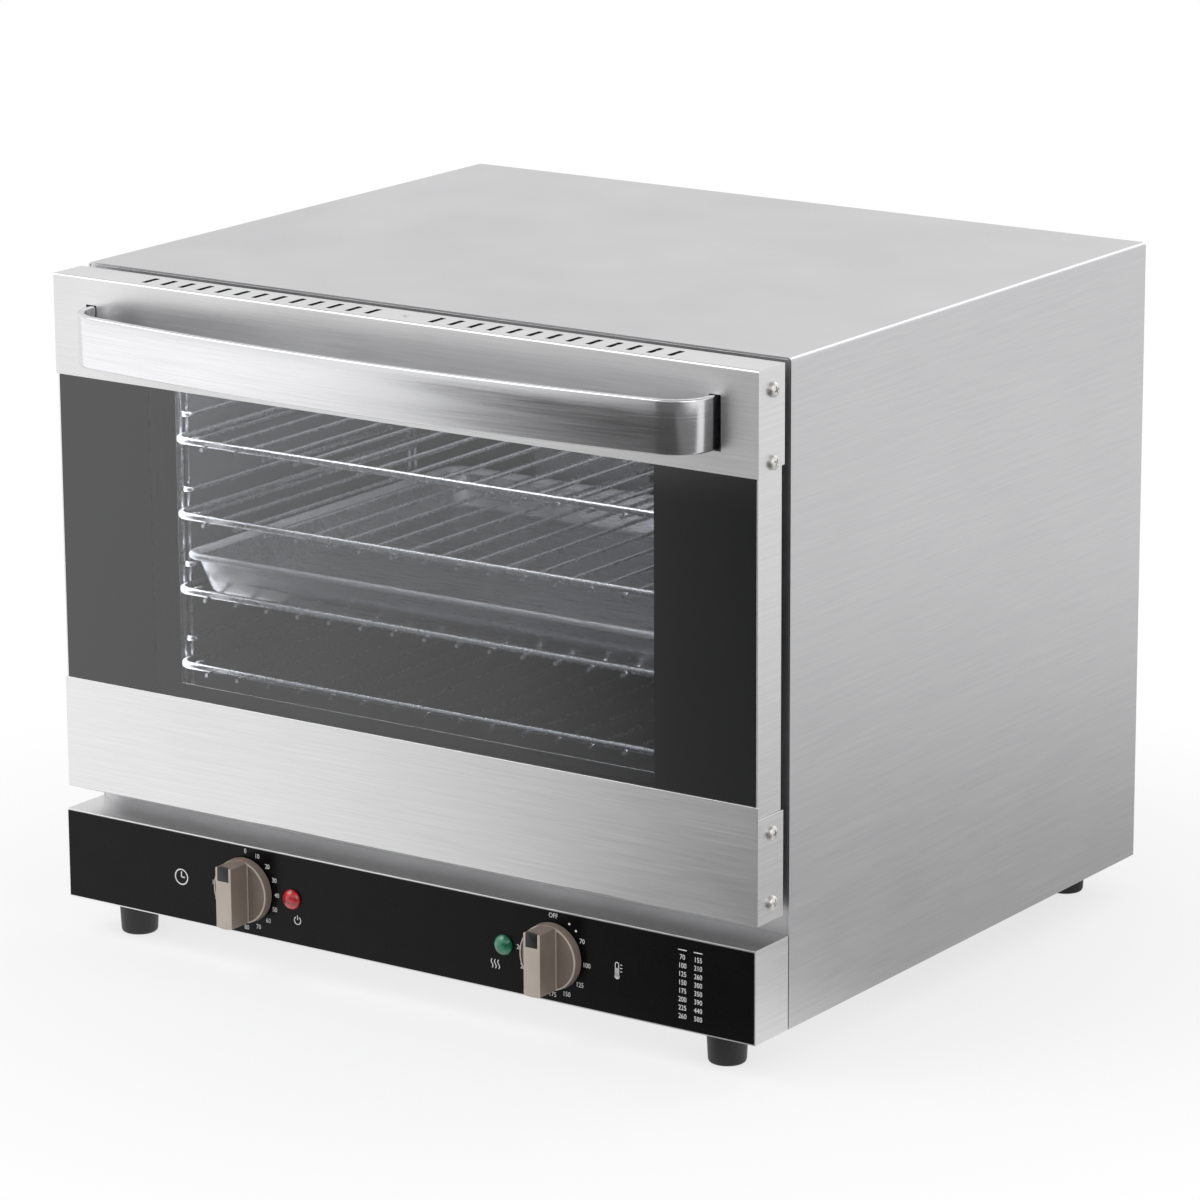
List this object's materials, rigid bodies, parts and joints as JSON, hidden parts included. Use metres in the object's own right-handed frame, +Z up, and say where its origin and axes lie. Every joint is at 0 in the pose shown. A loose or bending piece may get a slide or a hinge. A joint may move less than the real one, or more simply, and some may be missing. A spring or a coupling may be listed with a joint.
{
  "type": "convection toaster oven",
  "caption": "Box-shaped stainless convection oven with a drop-down glass door, bowed handle, wire racks, rear fan and a control strip with two rotary knobs below.",
  "frame": {"origin": "middle of the bounding box's bottom, on the surface that the feet stand on", "axes": "+X to the right when the door is looked at, +Y from the door to the back, +Z up"},
  "size_m": [0.5564, 0.527, 0.4525],
  "materials": {
    "casing_steel": "brushed stainless sheet",
    "door_steel": "brushed stainless sheet",
    "handle_steel": "brushed stainless strap",
    "liner_steel": "pressed steel",
    "wire": "bright wire",
    "tray": "pressed aluminium",
    "plated_steel": "zinc plated",
    "screw": "bright screw heads",
    "glass": "tempered door glass",
    "insulation": "mineral wool",
    "seal": "black silicone",
    "foot_rubber": "black rubber",
    "facing": "black printed facing",
    "knob": "satin coated plastic",
    "pointer": "black insert",
    "red_lens": "red lens",
    "green_lens": "green lens",
    "moulding": "black moulding",
    "motor": "motor can",
    "heater": "oxidised heater tube"
  },
  "bodies": {
    "oven_body": {"outer_wrap": "casing_steel", "front_frame": "casing_steel", "rear_panel": "casing_steel", "base_pan": "casing_steel", "control_box": "casing_steel", "cavity_liner": "liner_steel", "fan_baffle": "liner_steel", "rack_ladder_left": "wire", "rack_ladder_right": "wire", "hinge_bracket_left": "plated_steel", "hinge_bracket_right": "plated_steel", "hinge_pins": "plated_steel", "hinge_springs": "plated_steel", "thermostat_probe": "plated_steel", "casing_screws": "screw", "foot_screws": "screw", "insulation_blanket": "insulation", "door_seal": "seal", "foot_front_left": "foot_rubber", "foot_front_right": "foot_rubber", "foot_rear_left": "foot_rubber", "foot_rear_right": "foot_rubber", "control_overlay": "facing", "power_lamp_lens": "red_lens", "heating_lamp_lens": "green_lens", "timer_mechanism": "moulding", "thermostat_mechanism": "moulding", "lamp_housings": "moulding", "terminal_block": "moulding", "cable_gland": "moulding", "fan_motor": "motor", "heating_element": "heater"},
    "door": {"door_outer_glass": "glass", "door_inner_glass": "glass", "door_top_trim": "door_steel", "door_bottom_trim": "door_steel", "door_side_channel_left": "door_steel", "door_side_channel_right": "door_steel", "door_inner_panel": "door_steel", "door_handle": "handle_steel", "handle_brackets": "plated_steel", "handle_screws": "screw", "door_trim_screws": "screw", "hinge_cheek_left": "plated_steel", "hinge_cheek_right": "plated_steel"},
    "timer_dial": {"timer_knob": "knob", "timer_knob_pointer": "pointer", "timer_shaft": "plated_steel"},
    "thermostat_dial": {"thermostat_knob": "knob", "thermostat_knob_pointer": "pointer", "thermostat_shaft": "plated_steel"},
    "fan": {"fan_impeller": "plated_steel", "fan_shaft": "plated_steel"},
    "rack_1": {"rack_1": "wire"},
    "rack_2": {"rack_2": "wire"},
    "rack_3": {"rack_3": "wire", "baking_tray": "tray"},
    "rack_4": {"rack_4": "wire"}
  },
  "joints": [
    {"name": "door_hinge", "type": "hinge", "parent": "oven_body", "child": "door", "pos_m": [0, -0.1975, 0.112], "axis": [1, 0, 0], "range_deg": [0, 90], "stiffness_Nm_per_rad": 3, "springref_deg": -20.05},
    {"name": "timer_turn", "type": "hinge", "parent": "oven_body", "child": "timer_dial", "pos_m": [-0.1233, -0.2223, 0.0559], "axis": [0, 1, 0], "range_deg": [0, 270]},
    {"name": "thermostat_turn", "type": "hinge", "parent": "oven_body", "child": "thermostat_dial", "pos_m": [0.1233, -0.2223, 0.0559], "axis": [0, 1, 0], "range_deg": [0, 271]},
    {"name": "fan_spin", "type": "hinge", "parent": "oven_body", "child": "fan", "pos_m": [0, 0.1567, 0.2695], "axis": [0, 1, 0], "continuous": true},
    {"name": "rack_1_slide", "type": "slide", "parent": "oven_body", "child": "rack_1", "axis": [0, -1, 0], "range_m": [0, 0.015]},
    {"name": "rack_2_slide", "type": "slide", "parent": "oven_body", "child": "rack_2", "axis": [0, -1, 0], "range_m": [0, 0.015]},
    {"name": "rack_3_slide", "type": "slide", "parent": "oven_body", "child": "rack_3", "axis": [0, -1, 0], "range_m": [0, 0.015]},
    {"name": "rack_4_slide", "type": "slide", "parent": "oven_body", "child": "rack_4", "axis": [0, -1, 0], "range_m": [0, 0.015]}
  ]
}
